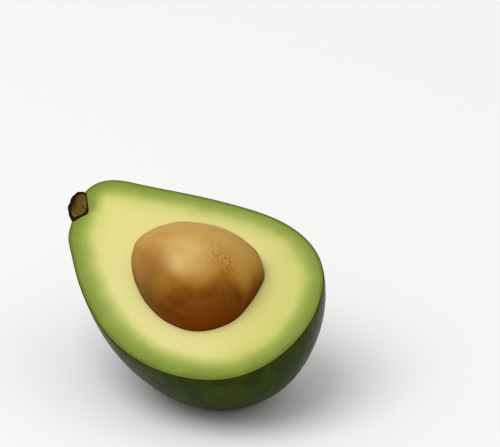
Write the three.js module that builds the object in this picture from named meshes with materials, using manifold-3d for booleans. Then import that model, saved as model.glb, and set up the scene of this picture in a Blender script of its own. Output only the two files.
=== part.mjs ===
// Half an avocado, cut lengthwise, with the whole seed still sitting in it.
//
// Every piece is shaped in the fruit's own frame, in millimetres:
//   +X  along the fruit, from the stem end to the blossom end
//   +Y  across the cut face
//   +Z  out of the cut face, which lies at z = 0
// The finished group is then tilted and set down on a small flat spot in the skin, which is at z = 0 of
// the part's frame, round its origin.

import * as THREE from "three";
import { mergeVertices } from "three/addons/utils/BufferGeometryUtils.js";
import Module from "manifold-3d";

const wasm = await Module();
wasm.setup();

// ---------------------------------------------------------------- driving dimensions, mm and degrees
const LENGTH = 105.5; // stem end to blossom end, without the stem
const WIDTH = 71.4; // across the cut face at its widest
const DEPTH = 39.5; // from the cut face to the back

const SKIN = 1.0; // thickness of the skin
const GAP = 0.3; // clearance between pieces that touch

const BULGE = [1, 0.375, -0.135, -0.09, 0.08]; // polynomial that makes an ellipse full at the blossom end
const BOW = 1.6; // how far the middle of the core line lies off a straight line
const SWAY = 5; // how much the core line swings the other way towards the stem

const SEED = {
  halfLength: 23.3,
  halfWidth: 18.3,
  egg: 0.27, // share by which the blossom end is fatter than the stem end
  at: new THREE.Vector3(5.9, 1, 2.8),
  turn: 15, // degrees about the face's normal
};

const STEM = {
  at: new THREE.Vector3(-48.3, -7.2, 0), // where its core line leaves the fruit
  lean: 36, // degrees from the fruit's axis towards -Y
  rootRadius: 3.2, // at its inner end, in the flesh
  neckRadius: 6.4, // where it leaves the fruit
  headRadius: 5,
  tipRadius: 2.6, // of the broken-off end
  outside: 3.9, // length that stands out of the fruit
  inside: 2.5, // length sunk in the flesh
};
const DIMPLE = { depth: 1.2, radius: 9 }; // hollow that the stem stands in

const ROLL = 21.2; // lean of the cut face towards the viewer's side, about the fruit's axis
const PITCH = 12.4; // dip of the blossom end
const FLAT = 2.0; // how far the resting spot is flattened

// Facets: along and round the fruit, along and round the seed, along and round the stem.
const FRUIT_STEPS = { along: 34, round: 44 };
const SEED_STEPS = { along: 20, round: 32 };
const STEM_STEPS = { along: 12, round: 24 };

// ---------------------------------------------------------------- the fruit's outer form
const stemAxis = new THREE.Vector3(-1, 0, 0).applyAxisAngle(
  new THREE.Vector3(0, 0, 1),
  THREE.MathUtils.degToRad(STEM.lean),
);

// Radius of the fruit, as a share before scaling, at a station from -1 (stem end) to 1 (blossom end).
const bulge = (s) => BULGE.reduce((sum, c, power) => sum + c * s ** power, 0);
const share = (angle) => Math.sin(angle) * bulge(-Math.cos(angle));
const angles = Array.from(
  { length: FRUIT_STEPS.along + 1 },
  (_, i) => (Math.PI * i) / FRUIT_STEPS.along,
);
const fullest = Math.max(...angles.map(share));

// Core line: how far the middle of the fruit is off the X axis at a station.
const coreLine = (s) => (BOW + SWAY * s) * (1 - s * s);

// The profile as (radius, station along the fruit), moved inwards by inset, with both ends on the axis.
function profile(inset) {
  const at = (angle) =>
    new THREE.Vector2((WIDTH / 2 / fullest) * share(angle), (-LENGTH / 2) * Math.cos(angle));
  return angles.map((angle, i) => {
    if (i === 0) return new THREE.Vector2(0, -LENGTH / 2 + inset);
    if (i === FRUIT_STEPS.along) return new THREE.Vector2(0, LENGTH / 2 - inset);
    const step = 1e-3;
    const along = at(angle + step).sub(at(angle - step)).normalize();
    return at(angle).add(new THREE.Vector2(-along.y, along.x).multiplyScalar(inset));
  });
}

// The whole fruit, uncut, as a closed geometry.
function fruit(inset) {
  const geometry = new THREE.LatheGeometry(profile(inset), FRUIT_STEPS.round);
  const position = geometry.getAttribute("position");
  const flatten = (DEPTH - inset) / (WIDTH / 2 - inset);
  const point = new THREE.Vector3();
  for (let i = 0; i < position.count; i++) {
    point.fromBufferAttribute(position, i);
    const station = THREE.MathUtils.clamp(point.y / (LENGTH / 2), -1, 1);
    point.set(point.y, point.x + coreLine(station), point.z * flatten);
    const away = point.distanceTo(STEM.at) / DIMPLE.radius;
    point.addScaledVector(stemAxis, -DIMPLE.depth * Math.exp(-away * away));
    position.setXYZ(i, point.x, point.y, point.z);
  }
  return geometry;
}

// ---------------------------------------------------------------- solids
// A closed body from a geometry, with its vertices merged and its faces turned outwards.
function solid(geometry) {
  const bare = geometry.clone();
  bare.deleteAttribute("normal");
  bare.deleteAttribute("uv");
  const merged = mergeVertices(bare, 1e-4);
  const vertProperties = merged.getAttribute("position").array;
  const corners = merged.index.array;
  const kept = [];
  for (let i = 0; i < corners.length; i += 3) {
    const [a, b, c] = corners.slice(i, i + 3);
    if (a !== b && b !== c && c !== a) kept.push(a, b, c);
  }
  const body = (order) =>
    new wasm.Manifold(new wasm.Mesh({ numProp: 3, vertProperties, triVerts: new Uint32Array(order) }));
  const made = body(kept);
  return made.volume() > 0 ? made : body(kept.reverse());
}

function geometryOf(made) {
  const mesh = made.getMesh();
  const geometry = new THREE.BufferGeometry();
  geometry.setAttribute("position", new THREE.BufferAttribute(mesh.vertProperties, 3));
  geometry.setIndex(new THREE.BufferAttribute(mesh.triVerts, 1));
  geometry.computeVertexNormals();
  return geometry;
}

// ---------------------------------------------------------------- how the half stands
const tilt = new THREE.Euler(
  THREE.MathUtils.degToRad(ROLL),
  THREE.MathUtils.degToRad(PITCH),
  0,
  "YXZ",
);

// The point of the tilted outer form that is lowest before it is flattened, in the part's directions.
function lowestPoint() {
  const position = fruit(0).getAttribute("position");
  const lowest = new THREE.Vector3(0, 0, Infinity);
  for (let i = 0; i < position.count; i++) {
    const point = new THREE.Vector3().fromBufferAttribute(position, i);
    if (point.z > 0) continue;
    point.applyEuler(tilt);
    if (point.z < lowest.z) lowest.copy(point);
  }
  return lowest;
}
const lowest = lowestPoint();
const placement = new THREE.Matrix4()
  .makeRotationFromEuler(tilt)
  .setPosition(-lowest.x, -lowest.y, -lowest.z - FLAT);
const toFruitFrame = placement.clone().invert();

// Everything above the level `height` of the part's frame, as a block in the fruit's frame.
function above(height) {
  const size = 4 * LENGTH;
  const block = new THREE.BoxGeometry(size, size, size);
  block.translate(0, 0, size / 2 + height);
  return solid(block.applyMatrix4(toFruitFrame));
}

// Everything behind the cut face.
function behindFace() {
  const size = 4 * LENGTH;
  return solid(new THREE.BoxGeometry(size, size, size).translate(0, 0, -size / 2));
}

// The whole fruit, moved inwards by inset, with its resting spot flattened, and the half behind the cut.
const whole = (inset) => solid(fruit(inset)).intersect(above(inset));
const half = (inset) => whole(inset).intersect(behindFace());

// ---------------------------------------------------------------- pieces
// Egg-shaped seed, whole, grown outwards by extra.
function seedForm(extra) {
  const geometry = new THREE.SphereGeometry(1, SEED_STEPS.round, SEED_STEPS.along);
  geometry.rotateZ(-Math.PI / 2);
  const position = geometry.getAttribute("position");
  for (let i = 0; i < position.count; i++) {
    const x = position.getX(i);
    const across = (SEED.halfWidth + extra) * (1 + SEED.egg * x);
    position.setXYZ(
      i,
      (SEED.halfLength + extra) * x,
      across * position.getY(i),
      across * position.getZ(i),
    );
  }
  geometry.rotateZ(THREE.MathUtils.degToRad(SEED.turn));
  geometry.translate(SEED.at.x, SEED.at.y, SEED.at.z);
  return solid(geometry);
}

// Short stem stub, turned about its own core line: a root in the flesh, a wide neck and a worn head.
function stemForm(extra) {
  const { rootRadius, neckRadius, headRadius, tipRadius, inside, outside } = STEM;
  const outline = new THREE.SplineCurve([
    new THREE.Vector2(rootRadius, -inside),
    new THREE.Vector2(neckRadius, 0),
    new THREE.Vector2(headRadius, outside * 0.7),
    new THREE.Vector2(tipRadius, outside),
  ]).getPoints(STEM_STEPS.along);
  const grown = outline.map((p) => new THREE.Vector2(p.x + extra, p.y));
  const points = [
    new THREE.Vector2(0, -inside - extra),
    new THREE.Vector2(grown[0].x, -inside - extra),
    ...grown,
    new THREE.Vector2(0, outside),
  ];
  const geometry = new THREE.LatheGeometry(points, STEM_STEPS.round);
  geometry.applyQuaternion(
    new THREE.Quaternion().setFromUnitVectors(new THREE.Vector3(0, 1, 0), stemAxis),
  );
  geometry.translate(STEM.at.x, STEM.at.y, STEM.at.z);
  return solid(geometry);
}

const skin = () => half(0).subtract(whole(SKIN)).subtract(stemForm(GAP));
const flesh = () => half(SKIN + GAP).subtract(seedForm(GAP)).subtract(stemForm(GAP));
const seed = () => seedForm(0);
const stem = () => stemForm(0).intersect(behindFace());

// ---------------------------------------------------------------- the assembled half
const LOOKS = {
  skin: new THREE.MeshStandardMaterial({ color: 0x2b3512, roughness: 0.35, metalness: 0 }),
  flesh: new THREE.MeshStandardMaterial({ color: 0xd9d588, roughness: 0.5, metalness: 0 }),
  seed: new THREE.MeshStandardMaterial({ color: 0x8f5a1e, roughness: 0.4, metalness: 0 }),
  stem: new THREE.MeshStandardMaterial({ color: 0x54421d, roughness: 0.8, metalness: 0 }),
};

function piece(name, made) {
  const mesh = new THREE.Mesh(geometryOf(made), LOOKS[name]);
  mesh.name = name;
  return mesh;
}

const avocado = new THREE.Group();
avocado.add(piece("skin", skin()), piece("flesh", flesh()));
avocado.add(piece("seed", seed()), piece("stem", stem()));
avocado.applyMatrix4(placement);

export default avocado;
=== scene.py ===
"""Half an avocado, cut lengthwise, with its seed in place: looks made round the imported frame.

Four pieces stand for the frame's four nodes: skin, flesh, seed and stem. Each is shaped in the fruit's
own directions, in metres:

    x  along the fruit, from the stem end to the blossom end
    y  across the cut face
    z  out of the cut face, which lies at z = 0

and is then tilted and set down where the frame stands.
"""

import math

import bmesh
import bpy
import numpy as np
from bpy.props import FloatProperty, FloatVectorProperty, PointerProperty
from mathutils import Matrix, Vector, noise


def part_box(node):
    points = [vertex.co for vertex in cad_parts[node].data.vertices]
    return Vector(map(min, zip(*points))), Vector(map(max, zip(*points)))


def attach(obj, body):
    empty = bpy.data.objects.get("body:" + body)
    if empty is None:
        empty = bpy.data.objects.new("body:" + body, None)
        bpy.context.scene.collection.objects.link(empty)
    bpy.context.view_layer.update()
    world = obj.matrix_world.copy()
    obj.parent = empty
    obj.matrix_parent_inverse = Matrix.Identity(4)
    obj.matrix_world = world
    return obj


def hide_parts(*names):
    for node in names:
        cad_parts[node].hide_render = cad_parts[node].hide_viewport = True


bl_info = {
    "name": "Avocado Half",
    "version": (1, 0, 0),
    "blender": (4, 5, 0),
    "location": "View3D > Sidebar > Avocado",
    "description": "Makes a cut avocado half with its seed, and a plain stage for it",
    "category": "Add Mesh",
}

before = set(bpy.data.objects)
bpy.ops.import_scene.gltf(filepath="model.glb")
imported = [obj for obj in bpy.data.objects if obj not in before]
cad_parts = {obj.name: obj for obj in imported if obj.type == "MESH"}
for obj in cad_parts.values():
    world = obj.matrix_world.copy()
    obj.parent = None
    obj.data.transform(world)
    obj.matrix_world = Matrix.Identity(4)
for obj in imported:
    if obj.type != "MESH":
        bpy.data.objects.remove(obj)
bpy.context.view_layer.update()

MM = 0.001
TAU = 2 * math.pi


# ------------------------------------------------------------------ the fruit's form, as in the frame
LENGTH = 105.5 * MM
WIDTH = 71.4 * MM
DEPTH = 39.5 * MM  # from the cut face to the back
BULGE = (1, 0.375, -0.135, -0.09, 0.08)  # polynomial that makes an ellipse full at the blossom end
BOW = 1.6 * MM  # how far the middle of the core line lies off a straight line
SWAY = 5 * MM  # how much the core line swings the other way towards the stem
ROLL = math.radians(21.2)  # lean of the cut face
PITCH = math.radians(12.4)  # dip of the blossom end

SEED_HALF_LENGTH = 23.3 * MM
SEED_HALF_WIDTH = 18.3 * MM
SEED_EGG = 0.27  # share by which the blossom end is fatter than the stem end
SEED_AT = np.array((5.9, 1, 2.8)) * MM
SEED_TURN = math.radians(15)  # about the face's normal

STEM_AT = np.array((-48.3, -7.2, 0)) * MM  # where its core line leaves the fruit
STEM_LEAN = math.radians(36)
STEM_AXIS = np.array((-math.cos(STEM_LEAN), -math.sin(STEM_LEAN), 0))
STEM_SIDE = np.array((math.sin(STEM_LEAN), -math.cos(STEM_LEAN), 0))
STEM_OUTLINE = ((-3.6, 0.9), (-2.1, 3.2), (0, 6.4), (2.4, 5.2), (3.9, 2.6))  # along and radius, mm
STEM_SKEW = -0.5  # how far the stem's middle moves sideways for each length along it
STEM_CLEARANCE = 0.12 * MM
DIMPLE_DEPTH = 0.5 * MM
DIMPLE_RADIUS = 7 * MM
SHOULDER_HEIGHT = 0.8 * MM  # of the fullness round the stem
SHOULDER_AT = 13.5 * MM  # from the stem
SHOULDER_WIDTH = 6 * MM

RESTING_SPOT = np.array((21, -8.5)) * MM  # x and y of the place the half rests on
RESTING_SOFTNESS = 0.45 * MM  # how softly the flattened place turns up at its edge
BROAD_SIZE = 27 * MM  # width of the slow swells in the fruit's form

ROUNDS = 512  # points round the rim
RINGS = 150  # rings from the resting spot to the rim
HIDDEN = slice(4, None, 6)  # the few of those rings that a hidden surface needs
FACE_RINGS = 104  # rings across the cut face
HOLLOW_RINGS = 40
STEM_RINGS = 56
STEM_CAP_RINGS = 9  # rings that close each end of the stem


# ------------------------------------------------------------------ settings
def shade(red, green, blue):
    """A colour as it looks, 0 to 255, turned into the linear light that the sockets take."""
    return tuple(
        c / 255 / 12.92 if c / 255 <= 0.04045 else ((c / 255 + 0.055) / 1.055) ** 2.4
        for c in (red, green, blue)
    )


def colour(name, description, default):
    return FloatVectorProperty(
        name=name, description=description, default=default, subtype="COLOR", min=0, max=1
    )


def size(name, description, default):
    return FloatProperty(
        name=name, description=description, default=default, unit="LENGTH", min=0, precision=5
    )


class AvocadoSkinSettings(bpy.types.PropertyGroup):
    thickness: size("Thickness", "Thickness of the skin", 1.0 * MM)
    swell: size("Swell", "Height of the slow swells in the fruit's form", 0.35 * MM)
    pebble_height: size("Pebble Height", "Height of the low pebbles all over the skin", 0.05 * MM)
    pebble_size: size("Pebble Size", "Width of one pebble", 2.2 * MM)
    dark: colour("Dark Green", "Most of the skin", shade(40, 50, 9))
    light: colour("Light Green", "Paler clouds in the skin", shade(56, 67, 13))
    fleck: colour("Fleck", "The small pores", shade(118, 128, 50))


class AvocadoFleshSettings(bpy.types.PropertyGroup):
    wave: size("Wave", "How far the knife wandered off a flat cut", 0.14 * MM)
    lip: size("Lip", "Rounding of the flesh round the seed", 0.4 * MM)
    clearance: size("Clearance", "Space between the flesh and the seed", 0.06 * MM)
    green: colour("Green", "Flesh right under the skin", shade(124, 140, 50))
    lime: colour("Lime", "Flesh between green and yellow", shade(190, 196, 104))
    yellow: colour("Yellow", "Flesh towards the seed", shade(231, 224, 144))


class AvocadoSeedSettings(bpy.types.PropertyGroup):
    furrow: size("Furrow", "Depth of the faint furrows along the seed", 0.04 * MM)
    grain: size("Grain", "Height of the grains in the rough patch", 0.1 * MM)
    # Tan, brown and umber run from the seed's lit top to its painted shade underneath, over the coat's
    # own browns; umber is also the coat's real dark between the flecks.
    tan: colour("Tan", "The lightest coat", shade(194, 153, 80))
    brown: colour("Brown", "Most of the coat", shade(182, 134, 60))
    umber: colour("Umber", "The darkest coat", shade(104, 52, 3))


class AvocadoStemSettings(bpy.types.PropertyGroup):
    roughness: size("Roughness", "Height of the bark's crust", 0.2 * MM)
    bark: colour("Bark", "The dark crust", shade(46, 28, 12))
    core: colour("Core", "The cut, fibrous middle", shade(100, 82, 30))


class AvocadoStageSettings(bpy.types.PropertyGroup):
    floor: colour("Floor", "Colour of the plain floor", shade(249, 249, 248))
    azimuth: FloatProperty(
        name="Azimuth", description="Where the camera stands round the fruit",
        default=math.radians(54.7), subtype="ANGLE",
    )
    elevation: FloatProperty(
        name="Elevation", description="How far the camera looks down",
        default=math.radians(25.2), subtype="ANGLE",
    )
    lens: FloatProperty(
        name="Lens", description="Focal length in millimetres", default=400, unit="CAMERA", min=20
    )
    key_power: FloatProperty(
        name="Key Power", description="Power of the large soft light", default=19, unit="POWER"
    )
    sky: FloatProperty(
        name="Sky", description="Strength of the even white light all round", default=0.66, min=0
    )


SETTINGS = {
    "skin": AvocadoSkinSettings,
    "flesh": AvocadoFleshSettings,
    "seed": AvocadoSeedSettings,
    "stem": AvocadoStemSettings,
    "stage": AvocadoStageSettings,
}


def settings(group):
    return getattr(bpy.context.scene, "avocado_" + group)


# ------------------------------------------------------------------ small tools for points
def unit(vectors):
    return vectors / np.linalg.norm(vectors, axis=-1, keepdims=True)


def bumps(points, width, octaves=1, stretch=(1, 1, 1)):
    """Soft noise, about -1 to 1, at each point. width is the distance between two bumps."""
    flat = (points / (width * np.array(stretch))).reshape(-1, 3).tolist()
    made = [noise.fractal(p, 1.0, 2.0, octaves, noise_basis="PERLIN_NEW") for p in flat]
    return np.array(made).reshape(points.shape[:-1]) * 1.4


def pebbles(points, width):
    """Low domes packed side by side: 1 in the middle of each, 0 where two meet."""
    flat = (points / width).reshape(-1, 3).tolist()
    gaps = []
    for p in flat:
        near = noise.voronoi(p)[0]
        gaps.append(near[1] - near[0])
    return np.minimum(np.array(gaps).reshape(points.shape[:-1]) * 1.8, 1) ** 0.7


def ease(values, low, high):
    """0 below low, 1 above high, and smooth in between."""
    t = np.clip((values - low) / (high - low), 0, 1)
    return t * t * (3 - 2 * t)


# ------------------------------------------------------------------ the fruit's form
def bulge(station):
    return sum(c * station**power for power, c in enumerate(BULGE))


def core_line(station):
    return (BOW + SWAY * station) * (1 - station**2)


TURNS = np.arange(ROUNDS) * TAU / ROUNDS
FULLEST = (np.sin(TURNS) * bulge(-np.cos(TURNS))).max()


def outline(turn):
    """The cut face's edge, as x and y. It starts at the stem end and runs along the +y side."""
    station = -np.cos(turn)
    across = WIDTH / 2 / FULLEST * np.sin(turn) * bulge(station)
    return np.stack([LENGTH / 2 * station, core_line(station) + across], -1)


def depth_at(x, y):
    station = np.clip(x / (LENGTH / 2), -1, 1)
    reach = WIDTH / 2 / FULLEST * np.sqrt(1 - station**2) * bulge(station)
    left = np.maximum(reach**2 - (y - core_line(station)) ** 2, 0)
    return DEPTH / (WIDTH / 2) * np.sqrt(left)


def facing(rings):
    """Outward normals of the form's rings. At the rim, the last ring, they lie in the cut."""
    round_rim = np.roll(rings, -1, 1) - np.roll(rings, 1, 1)
    to_rim = np.gradient(rings, axis=0)
    normals = unit(np.cross(round_rim, to_rim))
    inside = np.array((*RESTING_SPOT, -DEPTH / 4))
    normals *= np.sign(((rings - inside) * normals).sum(-1).mean())
    normals[-1, :, 2] = 0
    normals[-1] = unit(normals[-1])
    return normals


def plain_form(shares):
    """The fruit's outside behind the cut as rings, at shares of the way from resting spot to rim."""
    reach = np.sin(shares * math.pi / 2)[:, None, None]
    plan = RESTING_SPOT + reach * (outline(TURNS) - RESTING_SPOT)
    return np.concatenate([plan, -depth_at(plan[..., 0], plan[..., 1])[..., None]], -1)


def outer_form():
    """The outside with its swells, shoulder and dimple, as rings up to the rim, and its normals."""
    rings = plain_form(np.arange(1, RINGS + 1) / RINGS)
    rings[-1, :, 2] = 0
    away = np.linalg.norm(rings - STEM_AT, axis=-1)
    swell = settings("skin").swell * bumps(rings * (1, 1, 0.8), BROAD_SIZE)
    swell += SHOULDER_HEIGHT * np.exp(-(((away - SHOULDER_AT) / SHOULDER_WIDTH) ** 2))
    dimple = DIMPLE_DEPTH * np.exp(-((away / DIMPLE_RADIUS) ** 2))
    rings = rings + swell[..., None] * facing(rings) - dimple[..., None] * STEM_AXIS
    return rings, facing(rings)


def stand(points):
    """Tilts points of the fruit and moves them to where the frame stands."""
    return points @ TILT.T + STANDS_AT


def settle(points, level):
    """Flattens what hangs below a level, with a soft edge, as the fruit does where it rests."""
    settled = points.copy()
    above = np.logaddexp(0, (points[..., 2] - level) / RESTING_SOFTNESS)
    settled[..., 2] = level + RESTING_SOFTNESS * above
    return settled


TILT = np.array(Matrix.Rotation(PITCH, 3, "Y") @ Matrix.Rotation(ROLL, 3, "X"))


def standing_place():
    """How far the tilted form moves, so that its box meets the frame's box of the skin."""
    tilted = plain_form(np.linspace(0, 1, 200)).reshape(-1, 3) @ TILT.T
    low, high = (np.array(corner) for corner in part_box("skin"))
    moved = (low + high) / 2 - (tilted.min(0) + tilted.max(0)) / 2
    moved[2] = high[2] - tilted[:, 2].max()
    return moved


STANDS_AT = standing_place()


# ------------------------------------------------------------------ the seed's form
# Flat and full places: a direction, the share of the radius that is taken away there, which is below
# zero where the seed is full, and how wide the place is.
SEED_PLACES = (
    ((0.74, 0.68, 0.00), -0.032, 0.05),
    ((0.10, 0.80, 0.60), 0.032, 0.12),
    ((0.97, 0.20, -0.10), 0.020, 0.06),
    ((0.88, -0.45, -0.10), -0.017, 0.08),
    ((0.10, -0.98, -0.10), 0.030, 0.08),
    ((-0.45, -0.88, -0.05), 0.022, 0.06),
    ((-0.88, -0.45, 0.15), 0.018, 0.06),
)
SEED_SWELL = 0.006  # height of its slow swells, as a share of its radius
SEED_SWELL_SIZE = 0.5  # their width, as a share of its radius


def close_to(directions, toward, spread):
    """1 at a direction from the seed's middle, dying out round it."""
    away = 1 - directions @ unit(np.array(toward))
    return np.exp(-((away / spread) ** 2))


def seed_surface(directions, extra=0.0):
    """Points of the seed in its own directions, for unit directions from its middle."""
    across = SEED_HALF_WIDTH * (1 + SEED_EGG * directions[..., :1])
    scale = np.concatenate([np.full_like(across, SEED_HALF_LENGTH), across, across], -1)
    points = directions * scale
    share = np.ones(directions.shape[:-1])
    for toward, taken, spread in SEED_PLACES:
        share -= taken * close_to(directions, toward, spread)
    share += SEED_SWELL * bumps(directions, SEED_SWELL_SIZE)
    reach = np.linalg.norm(points, axis=-1)
    return points * (share + extra / reach)[..., None]


SEED_TO_FRUIT = np.array(Matrix.Rotation(SEED_TURN, 3, "Z"))


def hollow(lip):
    """Rings of the hollow that the seed sits in, from the lip down to its bottom."""
    clearance = settings("flesh").clearance
    rim = outline(TURNS) - SEED_AT[:2]
    rim = rim @ SEED_TO_FRUIT[:2, :2]
    heading = np.arctan2(rim[:, 1] / SEED_HALF_WIDTH, rim[:, 0] / SEED_HALF_LENGTH)

    def directions(dip):
        flat = np.stack([np.cos(dip) * np.cos(heading), np.cos(dip) * np.sin(heading)], -1)
        return np.concatenate([flat, -np.sin(dip)[..., None]], -1)

    # Halving finds the dip at which the seed's side passes the lip's lower edge.
    low, high = np.full(ROUNDS, -0.6), np.full(ROUNDS, 1.2)
    for _ in range(24):
        middle = (low + high) / 2
        above = seed_surface(directions(middle), clearance)[:, 2] + SEED_AT[2] > -lip
        low, high = np.where(above, middle, low), np.where(above, high, middle)
    share = (np.arange(HOLLOW_RINGS) / HOLLOW_RINGS)[:, None]
    dips = low + (math.pi / 2 - low) * share
    rings = seed_surface(directions(dips), clearance)
    return rings @ SEED_TO_FRUIT.T + SEED_AT


# ------------------------------------------------------------------ meshes
def with_poles(field):
    """Rings of values as one list, with the mean of the first and last ring at each end."""
    flat = field.reshape(-1, *field.shape[2:])
    return np.concatenate([field[0].mean(0)[None], flat, field[-1].mean(0)[None]])


def lofted(name, rings):
    """A closed mesh through rings of points, with a pole inside the first ring and the last."""
    count, rounds = rings.shape[:2]
    index = 1 + np.arange(count * rounds).reshape(count, rounds)
    after = np.roll(index, -1, 1)
    quads = np.stack([index[:-1], after[:-1], after[1:], index[1:]], -1).reshape(-1, 4)
    last = count * rounds + 1
    first_fan = np.stack([np.zeros(rounds, int), after[0], index[0]], -1)
    last_fan = np.stack([np.full(rounds, last), index[-1], after[-1]], -1)
    faces = [*first_fan.tolist(), *quads.tolist(), *last_fan.tolist()]
    mesh = bpy.data.meshes.new(name)
    mesh.from_pydata(with_poles(rings), [], faces)
    return mesh


def keep_values(mesh, **fields):
    """Stores values for the finishes on the mesh's points, numbers or x, y, z."""
    for name, values in fields.items():
        if values.ndim == 2:
            kept = mesh.attributes.new(name, "FLOAT_VECTOR", "POINT")
            kept.data.foreach_set("vector", values.astype(np.float32).ravel())
        else:
            kept = mesh.attributes.new(name, "FLOAT", "POINT")
            kept.data.foreach_set("value", values.astype(np.float32))


def turned_outwards(mesh):
    """Turns the faces outwards, and makes the mesh smooth."""
    mesh.validate()
    mesh.calc_loop_triangles()
    corners = np.empty(len(mesh.loop_triangles) * 3, int)
    mesh.loop_triangles.foreach_get("vertices", corners)
    points = np.empty(len(mesh.vertices) * 3)
    mesh.vertices.foreach_get("co", points)
    a, b, c = (points.reshape(-1, 3)[corners.reshape(-1, 3)[:, i]] for i in range(3))
    if (a * np.cross(b, c)).sum() < 0:
        mesh.flip_normals()
    mesh.shade_smooth()
    return mesh


def piece(name, node, mesh, finish):
    """Makes the finished piece: it stands for a node of the frame and rides on its only body."""
    made = bpy.data.objects.new(name, mesh)
    bpy.context.scene.collection.objects.link(made)
    mesh.materials.append(finish)
    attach(made, "root")
    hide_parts(node)


def cut_away(mesh, tool_mesh):
    """The mesh with the tool's solid taken out of it."""
    scene = bpy.context.scene
    work = bpy.data.objects.new("work", mesh)
    tool = bpy.data.objects.new("tool", turned_outwards(tool_mesh))
    for thing in (work, tool):
        scene.collection.objects.link(thing)
    cut = work.modifiers.new("cut", "BOOLEAN")
    cut.operation = "DIFFERENCE"
    cut.solver = "EXACT"
    cut.object = tool
    graph = bpy.context.evaluated_depsgraph_get()
    made = bpy.data.meshes.new_from_object(work.evaluated_get(graph))
    for thing in (work, tool):
        bpy.data.objects.remove(thing)
    if len(made.vertices) < len(mesh.vertices) // 2:
        raise RuntimeError("the cut took the piece away")
    return made


# ------------------------------------------------------------------ the cut
KNIFE_WAVE = 30 * MM  # width of the knife's slow waves
KNIFE_DRAG = 5 * MM  # width of its drag lines
KNIFE_DRAG_SHARE = 0.16  # their height, as a share of the waves' height
SKIN_EDGE = 0.14 * MM  # rounding of the skin's cut edge
FLESH_EDGE = 0.03 * MM
SKIN_TO_FLESH = 0.01 * MM


def knife(plan):
    """How far the cut stands off a flat face at x and y: slow waves and faint drag lines."""
    points = np.concatenate([plan, np.zeros_like(plan[..., :1])], -1)
    slow = bumps(points, KNIFE_WAVE)
    elsewhere = points + 0.5  # so that the two kinds of bumps don't fall together
    drag = bumps(elsewhere, KNIFE_DRAG, stretch=(1, 9, 1))
    return settings("flesh").wave * (slow + KNIFE_DRAG_SHARE * drag)


def rim_rings(rim, inwards, inset, radius, steps):
    """Rings round a corner of the cut, from the side up to the face, inset from the rim."""
    turn = np.linspace(0, math.pi / 2, steps)
    inset = inset + radius * (1 - np.cos(turn))
    rings = rim[None] + inwards[None] * inset[:, None, None]
    rings[..., 2] = (-radius + radius * np.sin(turn))[:, None]
    return rings


def lifted(rings):
    """Rings on or close under the cut, moved with the knife's waves, which die out below it."""
    moved = rings.copy()
    share = ease(rings[..., 2], -2.5 * MM, -0.2 * MM)
    moved[..., 2] += share * knife(rings[..., :2])
    return moved


def make_skin_mesh(look):
    form, normals = outer_form()
    rim, inwards = form[-1], -normals[-1]
    inner = form[HIDDEN] - normals[HIDDEN] * look.thickness
    inner = inner[inner[..., 2].mean(-1) < -SKIN_EDGE]
    outer = form[:-1]
    from_rim = -outer[..., 2]
    rough = look.pebble_height * pebbles(outer, look.pebble_size)
    rough += look.pebble_height * 0.8 * bumps(outer, 0.9 * look.pebble_size, 2)
    outer = outer + normals[:-1] * (rough * ease(from_rim, 0.1 * MM, 1.2 * MM))[..., None]
    outside_corner = rim_rings(rim, inwards, 0, SKIN_EDGE, 5)
    inside_corner = rim_rings(rim, inwards, look.thickness, 0, 1)
    middle = (outside_corner[-1:] * 2 + inside_corner) / 3
    cut = np.concatenate([outside_corner, middle, inside_corner])
    outside = settle(stand(lifted(np.concatenate([outer, cut]))), 0)
    inside = settle(stand(lifted(inner[::-1])), look.thickness)
    rings = np.concatenate([outside, inside])
    depth = np.concatenate([
        np.zeros(outer.shape[:2]),
        np.linalg.norm(cut[..., :2] - rim[None, :, :2], axis=-1) / look.thickness,
        np.ones(inner.shape[:2]),
    ])
    plain = np.concatenate([outer, cut, inner[::-1]])
    mesh = lofted("skin", rings)
    keep_values(mesh, grain=with_poles(plain / MM), depth_in_skin=with_poles(depth))
    return mesh


def distance_to_rim(points, rim):
    """How far each point of the face is from the rim, in the face."""
    found = np.empty(points.shape[:2])
    for i, ring in enumerate(points):
        found[i] = np.linalg.norm(ring[:, None, :2] - rim[None, :, :2], axis=-1).min(1)
    return found


def ring_thinner(points):
    """How many millimetres thinner the green ring under the skin is here than on the whole."""
    along, across = points[..., 0] / (LENGTH / 2), points[..., 1] / (WIDTH / 2)
    from_stem = np.linalg.norm(points - STEM_AT, axis=-1) / (12 * MM)
    by_place = 0.6 + 0.75 * across + 0.9 * across**2 - 0.7 * along
    return by_place - 1.2 * np.exp(-(from_stem**2))


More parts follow.
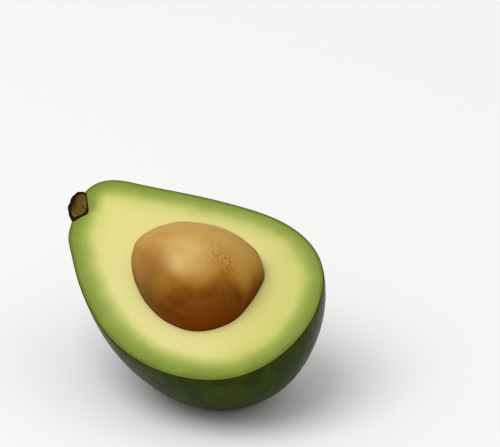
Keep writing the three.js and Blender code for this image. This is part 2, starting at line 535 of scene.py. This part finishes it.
def make_flesh_mesh(look, skin_look):
    form, normals = outer_form()
    inset = skin_look.thickness + SKIN_TO_FLESH
    rim, inwards = form[-1], -normals[-1]
    outer = (form - normals * inset)[HIDDEN]
    outer = outer[outer[..., 2].mean(-1) < -FLESH_EDGE]
    corner = rim_rings(rim, inwards, inset, FLESH_EDGE, 4)
    basin = hollow(look.lip)
    # The face's rings lie closer together near the rim and near the seed.
    share = np.arange(1, FACE_RINGS + 1) / (FACE_RINGS + 1)
    share = (0.6 * share + 0.4 * ease(share, 0, 1))[:, None, None]
    start = corner[-1] * (1, 1, 0)
    towards = basin[0] * (1, 1, 0)
    face = start + share * (towards - start)
    from_lip = np.linalg.norm(face - towards, axis=-1)
    inner = np.clip(look.lip - from_lip, 0, look.lip)
    face[..., 2] = -(look.lip - np.sqrt(look.lip**2 - inner**2))
    top = lifted(np.concatenate([corner, face]))
    soft = np.concatenate([corner, face, basin])
    from_skin = distance_to_rim(soft, rim) - inset
    from_skin = np.maximum(from_skin + ring_thinner(soft) * MM, 0)
    from_skin += np.maximum(-soft[..., 2] - look.lip, 0)
    rings = np.concatenate([settle(stand(outer), inset), stand(top), stand(basin)])
    from_skin = np.concatenate([np.zeros(outer.shape[:2]), from_skin])
    plain = np.concatenate([outer, soft])
    from_stem = np.linalg.norm(plain - STEM_AT + STEM_AXIS * 2 * MM, axis=-1) - 3.5 * MM
    mesh = lofted("flesh", rings)
    keep_values(
        mesh, grain=with_poles(plain / MM), from_skin=with_poles(from_skin / MM),
        from_stem=with_poles(from_stem / MM),
    )
    return mesh


# ------------------------------------------------------------------ the seed
# Directions from the seed's middle, in its own turn.
ROUGH_PATCH = unit(np.array((0.68, 0.05, 0.73)))
PATCH_LONG_WAY = unit(np.array((0.64, -0.34, -0.69)))
PATCH_REACH = (0.27, 0.18)  # how far it reaches along and across, as a share of the seed's radius
# A painted highlight on the seed's coat, where the key light would glint.
PAINTED_HIGHLIGHT = ((0.24, -0.26, 0.93), 0.06)  # a direction, and how wide the spot is
# An olive painted shade on the seed's left side: a direction, and how wide it is.
OLIVE_SHADE_SPOT = ((-0.25, -0.72, 0.65), 0.12)
# The seed's lit side: away from it the coat is painted darker, painted shade over its own browns.
PAINTED_LIT_SIDE = unit(np.array((-0.14, 0.30, 0.93)))  # the pale side
# Places where the painted shade leaves the coat paler or darker than its height towards the lit side
# alone would make it: a direction, by how much, and how wide the place is.
PAINTED_SHADE_PLACES = (
    ((0.90, 0.36, 0.24), 0.27, 0.10),
    ((-0.57, -0.72, 0.40), 0.12, 0.05),
    ((-0.24, -0.42, 0.87), -0.11, 0.14),
    ((0.02, -0.56, 0.83), -0.08, 0.06),
    ((0.53, -0.38, 0.76), 0.09, 0.03),
    ((0.70, -0.58, 0.38), -0.06, 0.08),
)


def rough_patch(directions, points):
    """1 in the middle of the seed's rough patch, with a broken edge, and 0 away from it."""
    lengthwise = (directions - ROUGH_PATCH) @ PATCH_LONG_WAY / PATCH_REACH[0]
    across = directions @ np.cross(ROUGH_PATCH, PATCH_LONG_WAY) / PATCH_REACH[1]
    patch = np.exp(-(lengthwise**2) - across**2) * (directions @ ROUGH_PATCH > 0)
    patch *= 0.8 + 0.8 * bumps(points, 4 * MM, 2)
    return np.clip(patch * 1.4, 0, 1)


def make_seed_mesh(look):
    ball = bmesh.new()
    bmesh.ops.create_icosphere(ball, subdivisions=7, radius=1)
    mesh = bpy.data.meshes.new("seed")
    ball.to_mesh(mesh)
    ball.free()
    directions = np.empty(len(mesh.vertices) * 3)
    mesh.vertices.foreach_get("co", directions)
    directions = unit(directions.reshape(-1, 3))
    points = seed_surface(directions)
    outward = unit(points / np.array((SEED_HALF_LENGTH, SEED_HALF_WIDTH, SEED_HALF_WIDTH)) ** 2)
    patch = rough_patch(directions, points)
    # The painted highlight: a paler spot where the light would glint.
    pale_spot = close_to(directions, *PAINTED_HIGHLIGHT) * (0.85 + 0.4 * bumps(points, 8 * MM, 2))
    topside = directions @ PAINTED_LIT_SIDE
    # Painted shade: the coat's level is high on the lit side and low underneath, nudged in a few places.
    for toward, painted_light_amount, spread in PAINTED_SHADE_PLACES:
        topside += painted_light_amount * close_to(directions, toward, spread)
    furrows = 1 - np.abs(bumps(points, 3.4 * MM, 3, stretch=(3.2, 1, 1))) * 2
    raised = -look.furrow * np.clip(furrows, 0, 1) ** 3
    raised += look.furrow * 0.8 * bumps(points, 7 * MM, 2)
    raised += look.grain * patch * bumps(points, 1.1 * MM, 2)
    points = points + outward * raised[:, None]
    placed = points @ SEED_TO_FRUIT.T + SEED_AT
    mesh.vertices.foreach_set("co", stand(placed).ravel())
    keep_values(
        mesh, grain=points / MM, rough_patch=patch, topside=topside, pale_spot=pale_spot,
        olive_spot=close_to(directions, *OLIVE_SHADE_SPOT),
    )
    return mesh


# ------------------------------------------------------------------ the stem
def smooth_line(points, count):
    """Points on a smooth line through the given ones, a Catmull-Rom spline."""
    line = np.concatenate([points[:1], points, points[-1:]])
    places = np.linspace(0, len(points) - 1.001, count)
    before = places.astype(int)
    u = (places - before)[:, None]
    a, b, c, d = (line[before + i] for i in range(4))
    return b + 0.5 * u * (c - a + u * (2 * a - 5 * b + 4 * c - d + u * (3 * b - a - 3 * c + d)))


def stem_rings(section, grown=0.0):
    """Rings along the stem, each a section given as (side, up) shares of the radius there."""
    along, radius = smooth_line(np.array(STEM_OUTLINE) * MM, STEM_RINGS).T
    cap = np.ones(STEM_CAP_RINGS)
    along = np.concatenate([(along[0] - grown) * cap, along, (along[-1] + grown) * cap])
    closing = np.linspace(0.1, 0.9, STEM_CAP_RINGS)
    radius = np.concatenate([radius[0] * closing, radius, radius[-1] * closing[::-1]]) + grown
    side = radius[:, None] * section[:, 0] + STEM_SKEW * along[:, None]
    rings = STEM_AT + along[:, None, None] * STEM_AXIS + side[..., None] * STEM_SIDE
    rings[..., 2] += radius[:, None] * section[:, 1]
    return rings, along, radius


def make_stem_tool():
    """The whole round stem, a little larger: it makes the stem's place in the skin and the flesh."""
    turn = np.linspace(0, TAU, 72, endpoint=False)
    rings = stem_rings(np.stack([np.cos(turn), np.sin(turn)], -1), STEM_CLEARANCE)[0]
    return lofted("stem_tool", stand(rings))


def make_stem_mesh(look):
    bark_steps, cut_steps = 120, 70
    turn = np.linspace(0, -math.pi, bark_steps)
    bark = np.stack([np.cos(turn), np.sin(turn)], -1)
    line = np.linspace(-1, 1, cut_steps + 2)[1:-1]
    cut = np.stack([line, np.zeros(cut_steps)], -1)
    section = np.concatenate([bark, cut])
    rings, along, radius = stem_rings(section)
    grain = np.empty_like(rings)
    grain[..., 0] = along[:, None]
    grain[..., 1] = radius[:, None] * section[:, 0]
    grain[..., 2] = radius[:, None] * section[:, 1]
    outward = section[:, :1] * STEM_SIDE + section[:, 1:] * (0, 0, 1)
    # The crust stands out of the bark, and less and less out of the cut towards its middle.
    crust = look.roughness * (bumps(grain, 1.8 * MM, 3) + 0.3 * bumps(grain, 0.5 * MM, 2))
    on_bark = np.concatenate([np.ones(bark_steps), np.zeros(cut_steps)])
    outer_share = ease(np.abs(section[:, 0]), 0.55, 1.0)
    push = crust - 0.5 * look.roughness
    rings = rings + push[..., None] * outward * (on_bark + (1 - on_bark) * outer_share)[:, None]
    # The cut's middle is sunk and fibrous, and the broken end is ragged.
    fibres = bumps(grain, 0.55 * MM, 3, stretch=(5, 1, 1))
    sunk = 0.35 * MM * (1 - outer_share) * ease(along / MM, -3.6, -1.5)[:, None]
    rings[..., 2] += (1 - on_bark) * (0.16 * MM * fibres - sunk)
    end_ragged = 0.2 * MM * bumps(grain * (0, 1, 1), 2 * MM, 3)
    rings = rings + (end_ragged * ease(along / MM, 2.2, 3.6)[:, None])[..., None] * STEM_AXIS
    # How far in from the bark the cut's points are: the bark is thicker on one side, towards the end
    # and in one dark wedge near where the stem meets the flesh.
    from_end = np.minimum(along - along[0], along[-1] - along)[:, None]
    from_bark = np.minimum(radius[:, None] * (1 - np.abs(section[:, 0])), from_end)
    from_bark -= 0.75 * MM * ease(section[:, 0], 0.3, 0.9)
    from_bark -= 0.3 * MM * ease(along, 0.6 * MM, 2.4 * MM)[:, None]
    dark_wedge = ((along / MM + 1.2) / 1.1)[:, None] ** 2 + ((section[:, 0] - 0.7) / 0.28) ** 2
    from_bark = (from_bark - 1.2 * MM * np.exp(-dark_wedge)) * (1 - on_bark)
    mesh = lofted("stem", stand(rings))
    keep_values(mesh, grain=with_poles(grain / MM), from_bark=with_poles(from_bark / MM))
    return mesh


# ------------------------------------------------------------------ small tools for finishes
class Finish:
    """One material's nodes: each call adds a node and gives back its output."""

    def __init__(self, name, roughness):
        self.material = bpy.data.materials.new(name)
        self.material.use_nodes = True
        self.tree = self.material.node_tree
        self.tree.nodes.clear()
        self.surface = self.tree.nodes.new("ShaderNodeBsdfPrincipled")
        output = self.tree.nodes.new("ShaderNodeOutputMaterial")
        self.tree.links.new(self.surface.outputs["BSDF"], output.inputs["Surface"])
        self.set(Roughness=roughness)

    def put(self, socket, value):
        if isinstance(value, bpy.types.NodeSocket):
            self.tree.links.new(value, socket)
        elif socket.type == "RGBA" and len(value) == 3:
            socket.default_value = (*value, 1)
        else:
            socket.default_value = value

    def set(self, **values):
        for name, value in values.items():
            self.put(self.surface.inputs[name.replace("_", " ")], value)

    def add(self, kind, out, options=None, **values):
        node = self.tree.nodes.new("ShaderNode" + kind)
        for name, value in (options or {}).items():
            setattr(node, name, value)
        for name, value in values.items():
            self.put(node.inputs[name.replace("_", " ")], value)
        return node.outputs[out]

    def kept(self, name, out="Fac"):
        """A value stored on the mesh's points."""
        return self.add("Attribute", out, {"attribute_name": name})

    def scaled(self, vector, factors):
        node = self.tree.nodes.new("ShaderNodeVectorMath")
        node.operation = "MULTIPLY"
        self.put(node.inputs[0], vector)
        node.inputs[1].default_value = factors
        return node.outputs["Vector"]

    def clouds(self, vector, width, detail=3.0, roughness=0.55, distortion=0.0):
        """Noise from 0 to 1 whose clouds are width millimetres across."""
        return self.add(
            "TexNoise", "Fac", Vector=vector, Scale=1 / width, Detail=detail,
            Roughness=roughness, Distortion=distortion,
        )

    def calc(self, operation, first, second):
        node = self.tree.nodes.new("ShaderNodeMath")
        node.operation = operation
        self.put(node.inputs[0], first)
        self.put(node.inputs[1], second)
        return node.outputs["Value"]

    def rise(self, value, low, high, to_low=0.0, to_high=1.0, steady=False):
        """The value mapped from low..high to to_low..to_high, with soft ends unless it is steady."""
        return self.add(
            "MapRange", "Result", {"interpolation_type": "LINEAR" if steady else "SMOOTHSTEP"},
            Value=value, From_Min=low, From_Max=high, To_Min=to_low, To_Max=to_high,
        )

    def mix(self, share, first, second):
        node = self.tree.nodes.new("ShaderNodeMix")
        node.data_type = "RGBA"
        self.put(node.inputs[0], share)
        self.put(node.inputs[6], first)
        self.put(node.inputs[7], second)
        return node.outputs[2]

    def ramp(self, value, *stops):
        node = self.tree.nodes.new("ShaderNodeValToRGB")
        while len(node.color_ramp.elements) < len(stops):
            node.color_ramp.elements.new(0.5)
        for element, (place, tone) in zip(node.color_ramp.elements, stops):
            element.position = place
            element.color = (*tone, 1)
        self.put(node.inputs["Fac"], value)
        return node.outputs["Color"]

    def relief(self, height, depth, below=None):
        """Fine relief of a given depth in millimetres, on top of any other."""
        values = {"Height": height, "Strength": 1.0, "Distance": depth * MM}
        if below is not None:
            values["Normal"] = below
        return self.add("Bump", "Normal", **values)


# ------------------------------------------------------------------ finishes
def glossy_green_skin(look):
    """Dark green with paler clouds and small pores, and light green where the cut goes through it."""
    skin = Finish("glossy_green_skin", 0.34)
    grain = skin.kept("grain", "Vector")
    depth = skin.kept("depth_in_skin")
    clouds = skin.rise(skin.clouds(grain, 11, 4, 0.6, 0.6), 0.35, 0.7)
    base = skin.mix(clouds, look.dark, look.light)
    patchy = skin.rise(skin.clouds(grain, 3.2, 4, 0.65), 0.3, 0.75, 0, 0.45)
    base = skin.mix(patchy, base, shade(28, 35, 8))
    pores = skin.add("TexVoronoi", "Distance", Vector=grain, Scale=1 / 2.4, Randomness=1.0)
    rare = skin.rise(skin.clouds(grain, 5, 2), 0.46, 0.62)
    pore = skin.calc("MULTIPLY", skin.rise(pores, 0.07, 0.15, 1, 0), rare)
    base = skin.mix(skin.calc("MULTIPLY", pore, 0.55), base, look.fleck)
    inside = skin.ramp(depth, (0.15, (0, 0, 0)), (0.5, (1, 1, 1)))
    base = skin.mix(inside, base, shade(118, 134, 49))
    fine = skin.clouds(grain, 0.7, 3, 0.6)
    dimpled = skin.relief(fine, 0.06)
    raised = skin.relief(pore, 0.05, dimpled)
    skin.set(
        Base_Color=base, Normal=raised, IOR=1.1, Specular_Tint=(0.8, 1.0, 0.4),
        Roughness=skin.rise(skin.clouds(grain, 2.0, 3), 0.2, 0.8, 0.24, 0.38),
    )
    return skin.material


def buttery_flesh(look):
    """Green under the skin, yellow towards the seed, and bruised a little round the stem."""
    flesh = Finish("buttery_flesh", 0.42)
    grain = flesh.kept("grain", "Vector")
    from_skin = flesh.kept("from_skin")
    wander = flesh.calc("SUBTRACT", flesh.clouds(grain, 9, 3, 0.5, 0.4), 0.5)
    depth = flesh.calc("ADD", from_skin, flesh.calc("MULTIPLY", wander, 2.5))
    share = flesh.calc("DIVIDE", depth, 16.0)
    tone = flesh.ramp(
        share, (0.0, shade(106, 120, 40)), (0.06, look.green), (0.19, shade(137, 153, 62)),
        (0.31, shade(160, 172, 80)), (0.43, look.lime), (0.56, shade(214, 212, 126)),
        (0.7, shade(224, 219, 138)), (0.9, look.yellow),
    )
    strands = flesh.clouds(flesh.scaled(grain, (0.16, 1, 1)), 1.1, 4, 0.6, 0.3)
    tone = flesh.mix(flesh.rise(strands, 0.52, 0.75, 0, 0.07), tone, shade(168, 172, 78))
    pale = flesh.clouds(grain, 14, 5, 0.6, 0.8)
    tone = flesh.mix(flesh.rise(pale, 0.45, 0.75, 0, 0.12), tone, shade(206, 205, 112))
    bruise = flesh.calc("ADD", flesh.kept("from_stem"), flesh.clouds(grain, 1.6, 3, 0.6))
    tone = flesh.mix(flesh.rise(bruise, 0.1, 1.2, 0.35, 0), tone, shade(120, 112, 40))
    along = flesh.add("SeparateXYZ", "X", Vector=grain)
    across = flesh.add("SeparateXYZ", "Y", Vector=grain)
    # The yellow is duller by the stem and greener at the far end, which is painted shade, and paler on
    # the -y side, which is a painted highlight.
    yellow = flesh.rise(share, 0.4, 0.65)
    painted_shade_by_stem = flesh.calc("MULTIPLY", flesh.rise(along, -45, 15, 0.4, 0), yellow)
    tone = flesh.mix(painted_shade_by_stem, tone, shade(214, 204, 120))
    far = flesh.calc("ADD", along, flesh.calc("MULTIPLY", across, 0.75))
    painted_shade_far_end = flesh.calc("MULTIPLY", flesh.rise(far, 20, 48, 0, 0.55), yellow)
    tone = flesh.mix(painted_shade_far_end, tone, shade(200, 200, 108))
    painted_light_amount = flesh.calc("MULTIPLY", flesh.rise(across, -24, -6, 0.4, 0), yellow)
    tone = flesh.mix(painted_light_amount, tone, shade(241, 236, 166))
    fine = flesh.clouds(grain, 0.45, 3, 0.6)
    smear = flesh.clouds(flesh.scaled(grain, (1, 0.12, 1)), 1.3, 3, 0.5)
    relief = flesh.relief(smear, 0.05, flesh.relief(fine, 0.035))
    flesh.set(
        Base_Color=tone, Normal=relief, IOR=1.25, Subsurface_Weight=0.2,
        Subsurface_Radius=(1.0, 0.8, 0.3), Subsurface_Scale=1.6 * MM,
        Roughness=flesh.rise(flesh.clouds(grain, 2.4, 3), 0.2, 0.8, 0.36, 0.52),
    )
    return flesh.material


def brown_seed_coat(look):
    """Tan on top and dark brown underneath, with faint streaks and a rough, flecked patch. The dark
    underside is painted shade over the coat's own browns, and the coat carries a painted highlight and
    an olive painted shade.
    """
    coat = Finish("brown_seed_coat", 0.42)
    grain = coat.kept("grain", "Vector")
    patch = coat.kept("rough_patch")
    topside = coat.kept("topside")
    wander = coat.calc("MULTIPLY", coat.calc("SUBTRACT", coat.clouds(grain, 9, 3), 0.5), 0.3)
    # height is the level of the painted shade: low on the underside, away from the light, and high on
    # the lit top.
    height = coat.rise(coat.calc("ADD", topside, wander), -0.4, 1.0, steady=True)
    tone = coat.ramp(
        height, (0.07, shade(106, 47, 1)), (0.38, look.umber), (0.48, shade(131, 80, 18)),
        (0.58, shade(157, 109, 40)), (0.68, look.brown), (0.84, look.tan),
    )
    # The orange clouds are kept to the lit part of the painted shade.
    clouds = coat.calc("MULTIPLY", coat.rise(coat.clouds(grain, 12, 4, 0.5, 0.6), 0.45, 0.7), height)
    tone = coat.mix(coat.calc("MULTIPLY", clouds, 0.5), tone, shade(188, 130, 46))
    streaks = coat.clouds(coat.scaled(grain, (0.2, 1, 1)), 2.4, 4, 0.55, 0.5)
    tone = coat.mix(coat.rise(streaks, 0.5, 0.85, 0, 0.2), tone, shade(140, 84, 22))
    # Painted shade: an olive tone on the seed's shaded left side.
    tone = coat.mix(coat.calc("MULTIPLY", coat.kept("olive_spot"), 0.55), tone, shade(154, 110, 44))
    # Painted highlight on the coat.
    tone = coat.mix(coat.calc("MULTIPLY", coat.kept("pale_spot"), 0.8), tone, shade(212, 180, 114))
    flecks = coat.add("TexVoronoi", "Distance", Vector=grain, Scale=1 / 0.85)
    some = coat.rise(coat.clouds(grain, 1.5, 3, 0.6), 0.4, 0.6, 0.15, 1)
    fleck = coat.calc("MULTIPLY", coat.rise(flecks, 0.12, 0.5, 1, 0), coat.calc("MULTIPLY", patch, some))
    tone = coat.mix(coat.calc("MULTIPLY", fleck, 0.5), tone, shade(224, 188, 128))
    between = coat.calc("MULTIPLY", coat.rise(flecks, 0.45, 0.7), patch)
    tone = coat.mix(coat.calc("MULTIPLY", between, 0.28), tone, look.umber)
    fine = coat.clouds(coat.scaled(grain, (0.4, 1, 1)), 0.5, 4, 0.6)
    relief = coat.relief(fleck, 0.08, coat.relief(fine, 0.03))
    coat.set(
        Base_Color=tone, Normal=relief, IOR=1.13, Specular_Tint=(1.0, 0.9, 0.5),
        Roughness=coat.rise(streaks, 0.2, 0.8, 0.34, 0.48),
    )
    return coat.material


def corky_stem(look):
    """A dark crust round a fibrous middle."""
    stem = Finish("corky_stem", 0.8)
    grain = stem.kept("grain", "Vector")
    inside = stem.kept("from_bark")
    fibres = stem.clouds(stem.scaled(grain, (0.22, 1, 1)), 0.5, 5, 0.7, 0.3)
    core = stem.ramp(fibres, (0.34, shade(52, 36, 14)), (0.5, look.core), (0.66, shade(150, 124, 58)))
    along = stem.add("SeparateXYZ", "X", Vector=grain)
    core = stem.mix(stem.rise(along, -0.5, 3.6, 0, 0.75), core, shade(54, 36, 14))
    crust = stem.ramp(stem.clouds(grain, 0.8, 5, 0.7), (0.3, shade(24, 13, 5)), (0.7, look.bark))
    ragged = stem.calc("ADD", inside, stem.calc("MULTIPLY", stem.clouds(grain, 1.4, 4), -0.8))
    tone = stem.mix(stem.rise(ragged, 0.35, 1.05), crust, core)
    relief = stem.relief(stem.clouds(grain, 0.3, 4, 0.7), 0.16, stem.relief(fibres, 0.14))
    stem.set(
        Base_Color=tone, Normal=relief, IOR=1.12, Roughness=stem.rise(fibres, 0.2, 0.8, 0.62, 0.9),
    )
    return stem.material


def plain_floor(look):
    floor = Finish("plain_floor", 0.9)
    floor.set(Base_Color=look.floor, Specular_IOR_Level=0.1)
    return floor.material


# ------------------------------------------------------------------ the stage
SUBJECT = Vector((-14.2, -3.2, 31.2)) * MM  # middle of the half
AIM = (19.25 * MM, 22.1 * MM)  # how far right of and above the half's middle the camera looks
VIEW_WIDTH = 162.4 * MM  # width of the view at the half
SENSOR = 36.0
KEY_TOWARD = (-0.36, 0.68, 0.64)  # right of, above and before the half, as the camera sees it
KEY_AWAY = 2.0
KEY_WIDTH = 1.6
FLOOR_REACH = 4.0


def make_camera(look):
    """Makes the camera, and gives back the directions right, up and back as it sees them."""
    a, e = look.azimuth, look.elevation
    back = Vector((math.sin(a) * math.cos(e), -math.cos(a) * math.cos(e), math.sin(e)))
    right = Vector((math.cos(a), math.sin(a), 0))
    up = back.cross(right)
    aim = SUBJECT + right * AIM[0] + up * AIM[1]
    data = bpy.data.cameras.new("camera")
    data.lens = look.lens
    data.sensor_width = SENSOR
    data.clip_start = 0.05
    data.clip_end = 50
    camera = bpy.data.objects.new("camera", data)
    camera.location = SUBJECT + back * (VIEW_WIDTH * look.lens / SENSOR)
    camera.rotation_euler = (aim - camera.location).to_track_quat("-Z", "Y").to_euler()
    bpy.context.scene.collection.objects.link(camera)
    bpy.context.scene.camera = camera
    return right, up, back


def soft_light(name, place, width, power):
    data = bpy.data.lights.new(name, "AREA")
    data.shape = "DISK"
    data.size = width
    data.energy = power
    light = bpy.data.objects.new(name, data)
    light.location = place
    light.rotation_euler = (SUBJECT - place).to_track_quat("-Z", "Y").to_euler()
    bpy.context.scene.collection.objects.link(light)


def make_floor(look):
    mesh = bpy.data.meshes.new("floor")
    corners = [(FLOOR_REACH * x, FLOOR_REACH * y, 0) for x, y in ((-1, -1), (1, -1), (1, 1), (-1, 1))]
    mesh.from_pydata(corners, [], [(0, 1, 2, 3)])
    mesh.materials.append(plain_floor(look))
    floor = bpy.data.objects.new("floor", mesh)
    bpy.context.scene.collection.objects.link(floor)


# ------------------------------------------------------------------ operators
class AVOCADO_OT_skin(bpy.types.Operator):
    """Make the skin"""

    bl_idname = "avocado.skin"
    bl_label = "Skin"

    def execute(self, context):
        look = settings("skin")
        mesh = cut_away(turned_outwards(make_skin_mesh(look)), make_stem_tool())
        piece("avocado_skin", "skin", turned_outwards(mesh), glossy_green_skin(look))
        return {"FINISHED"}


class AVOCADO_OT_flesh(bpy.types.Operator):
    """Make the flesh, with the hollow for the seed"""

    bl_idname = "avocado.flesh"
    bl_label = "Flesh"

    def execute(self, context):
        look = settings("flesh")
        mesh = turned_outwards(make_flesh_mesh(look, settings("skin")))
        mesh = cut_away(mesh, make_stem_tool())
        piece("avocado_flesh", "flesh", turned_outwards(mesh), buttery_flesh(look))
        return {"FINISHED"}


class AVOCADO_OT_seed(bpy.types.Operator):
    """Make the seed"""

    bl_idname = "avocado.seed"
    bl_label = "Seed"

    def execute(self, context):
        look = settings("seed")
        piece("avocado_seed", "seed", turned_outwards(make_seed_mesh(look)), brown_seed_coat(look))
        return {"FINISHED"}


class AVOCADO_OT_stem(bpy.types.Operator):
    """Make the short stem button"""

    bl_idname = "avocado.stem"
    bl_label = "Stem"

    def execute(self, context):
        look = settings("stem")
        piece("avocado_stem", "stem", turned_outwards(make_stem_mesh(look)), corky_stem(look))
        return {"FINISHED"}


class AVOCADO_OT_stage(bpy.types.Operator):
    """Make the floor, the lights and the camera"""

    bl_idname = "avocado.stage"
    bl_label = "Stage"

    def execute(self, context):
        look = settings("stage")
        right, up, back = make_camera(look)
        make_floor(look)
        toward = right * KEY_TOWARD[0] + up * KEY_TOWARD[1] + back * KEY_TOWARD[2]
        soft_light("key", SUBJECT + toward * KEY_AWAY, KEY_WIDTH, look.key_power)
        world = bpy.data.worlds.new("world")
        world.use_nodes = True
        sky = world.node_tree.nodes["Background"]
        sky.inputs["Color"].default_value = (1, 1, 1, 1)
        sky.inputs["Strength"].default_value = look.sky
        context.scene.world = world
        context.scene.view_settings.view_transform = "Standard"
        return {"FINISHED"}


class AVOCADO_PT_sidebar(bpy.types.Panel):
    """Lists the pieces and the stage"""

    bl_label = "Avocado Half"
    bl_idname = "AVOCADO_PT_sidebar"
    bl_space_type = "VIEW_3D"
    bl_region_type = "UI"
    bl_category = "Avocado"

    def draw(self, context):
        for name, group in SETTINGS.items():
            box = self.layout.box()
            box.operator("avocado." + name)
            for prop in group.__annotations__:
                box.prop(settings(name), prop)


CLASSES = (
    *SETTINGS.values(),
    AVOCADO_OT_skin,
    AVOCADO_OT_flesh,
    AVOCADO_OT_seed,
    AVOCADO_OT_stem,
    AVOCADO_OT_stage,
    AVOCADO_PT_sidebar,
)


def register():
    for made in CLASSES:
        bpy.utils.register_class(made)
    for name, group in SETTINGS.items():
        setattr(bpy.types.Scene, "avocado_" + name, PointerProperty(type=group))


def unregister():
    for name in SETTINGS:
        delattr(bpy.types.Scene, "avocado_" + name)
    for made in reversed(CLASSES):
        bpy.utils.unregister_class(made)


def main():
    register()
    bpy.ops.avocado.stage()
    bpy.ops.avocado.skin()
    bpy.ops.avocado.flesh()
    bpy.ops.avocado.seed()
    bpy.ops.avocado.stem()


if __name__ == "__main__":
    main()
